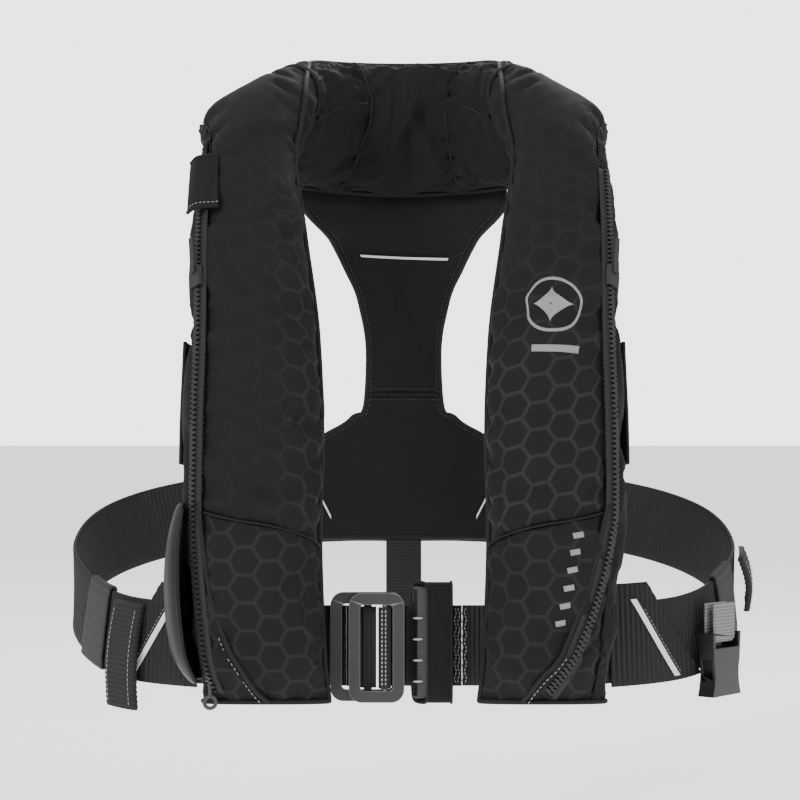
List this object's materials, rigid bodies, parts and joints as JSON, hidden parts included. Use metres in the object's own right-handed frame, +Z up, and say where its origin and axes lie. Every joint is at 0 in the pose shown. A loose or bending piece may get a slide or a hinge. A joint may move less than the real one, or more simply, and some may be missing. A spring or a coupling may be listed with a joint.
{
  "type": "inflatable life jacket",
  "caption": "Packed inflatable life jacket: horseshoe cover over a folded bladder and inflator, flat back panel, waist belt with alloy buckle, side clip and crotch strap.",
  "frame": {"origin": "centre of the neck opening, level with the wearer's shoulders", "axes": "+Z up, front towards -Y, the wearer's right towards -X"},
  "size_m": [0.4507, 0.2777, 0.4261],
  "materials": {
    "cover_cloth": "matt black coated nylon with a tone-on-tone hexagon print",
    "lining_cloth": "matt black lining cloth",
    "webbing": "ribbed black polyester webbing",
    "grey_webbing": "ribbed light-grey webbing",
    "elastic": "mid-grey woven elastic",
    "reflective": "silver reflective tape",
    "alloy": "bead-blasted grey anodised alloy",
    "steel": "plated steel",
    "black_plastic": "glossy black moulded plastic",
    "bladder_cloth": "yellow coated bladder cloth",
    "clear_plastic": "clear moulded plastic",
    "signal_red": "red moulded plastic"
  },
  "bodies": {
    "jacket": {"cover_front_upper_right": "cover_cloth", "cover_front_upper_left": "cover_cloth", "cover_front_lower_right": "cover_cloth", "cover_front_lower_left": "cover_cloth", "cover_back_right": "lining_cloth", "cover_back_left": "lining_cloth", "cover_shoulder_edge_right": "cover_cloth", "cover_shoulder_edge_left": "cover_cloth", "zip_right": "black_plastic", "zip_left": "black_plastic", "collar_right": "lining_cloth", "collar_centre": "lining_cloth", "collar_left": "lining_cloth", "collar_outer": "cover_cloth", "bladder": "bladder_cloth", "back_panel_upper": "lining_cloth", "back_panel_lower": "lining_cloth", "back_belt_sleeve": "lining_cloth", "belt_right": "webbing", "belt_left": "webbing", "webbing_end_right": "webbing", "webbing_end_left": "webbing", "buckle_frame_rear": "alloy", "buckle_webbing_right": "webbing", "buckle_webbing_left": "webbing", "buckle_pad": "cover_cloth", "buckle_pad_lining": "elastic", "side_release_webbing": "grey_webbing", "crotch_strap": "webbing", "back_reflective_line": "reflective", "reflective_tag_right": "reflective", "reflective_tag_left": "reflective", "inflator_body": "black_plastic", "gas_cylinder": "steel", "sensing_cap": "black_plastic", "lever_pin": "steel", "inflator_guard": "black_plastic", "oral_tube": "bladder_cloth", "oral_valve": "signal_red", "whistle": "signal_red", "light_body": "black_plastic", "light_lens": "clear_plastic", "zip_garage_right": "cover_cloth", "side_tab_right": "webbing", "side_tab_left": "webbing", "gusset_right": "webbing", "gusset_left": "webbing"},
    "front_frame": {"buckle_frame_front": "alloy"},
    "side_clip": {"side_release_socket": "black_plastic"},
    "right_zip_slider": {"zip_slider_right": "black_plastic"},
    "left_zip_slider": {"zip_slider_left": "black_plastic"},
    "lever": {"firing_lever": "signal_red"},
    "pull": {"pull_cord": "webbing"},
    "mouth_cap": {"oral_cap": "black_plastic"},
    "right_keeper": {"keeper_right": "elastic"},
    "left_keeper": {"keeper_left": "elastic"}
  },
  "joints": [
    {"name": "front_frame_tilt", "type": "hinge", "parent": "jacket", "child": "front_frame", "pos_m": [-0.012, -0.1162, -0.318], "axis": [0, 0, 1], "range_deg": [0, 20]},
    {"name": "side_clip_swing", "type": "hinge", "parent": "jacket", "child": "side_clip", "pos_m": [0.20073, -0.06223, -0.316], "axis": [-0.6428, -0.766, 0], "range_deg": [-4, 60]},
    {"name": "right_zip_travel", "type": "hinge", "parent": "jacket", "child": "right_zip_slider", "pos_m": [-0.23702, 0.27169, -0.23367], "axis": [0.9659, 0.2491, -0.0703], "range_deg": [0, 8.6]},
    {"name": "left_zip_travel", "type": "hinge", "parent": "jacket", "child": "left_zip_slider", "pos_m": [0.23702, 0.27169, -0.23367], "axis": [0.9659, -0.2491, 0.0703], "range_deg": [0, 8.6]},
    {"name": "lever_pull", "type": "hinge", "parent": "jacket", "child": "lever", "pos_m": [-0.09491, -0.14107, -0.28261], "axis": [0, -0.99, 0.141], "range_deg": [0, 55]},
    {"name": "cord_pull", "type": "slide", "parent": "jacket", "child": "pull", "axis": [0, 0, -1], "range_m": [0, 0.0195]},
    {"name": "mouth_cap_pull", "type": "slide", "parent": "jacket", "child": "mouth_cap", "axis": [0.0633, 0.0765, 0.9951], "range_m": [0, 0.012]},
    {"name": "right_keeper_slide", "type": "hinge", "parent": "jacket", "child": "right_keeper", "pos_m": [-0.09736, -0.0025, -0.23152], "axis": [0.3682, 0.5133, -0.7752], "range_deg": [-2, 3]},
    {"name": "left_keeper_slide", "type": "hinge", "parent": "jacket", "child": "left_keeper", "pos_m": [0.09805, 0.00019, -0.23531], "axis": [0.3335, -0.5209, 0.7858], "range_deg": [-2, 2]}
  ],
  "couplings": [
    {"joint": "cord_pull", "follows": "lever_pull", "m_per_rad": 0.02}
  ]
}
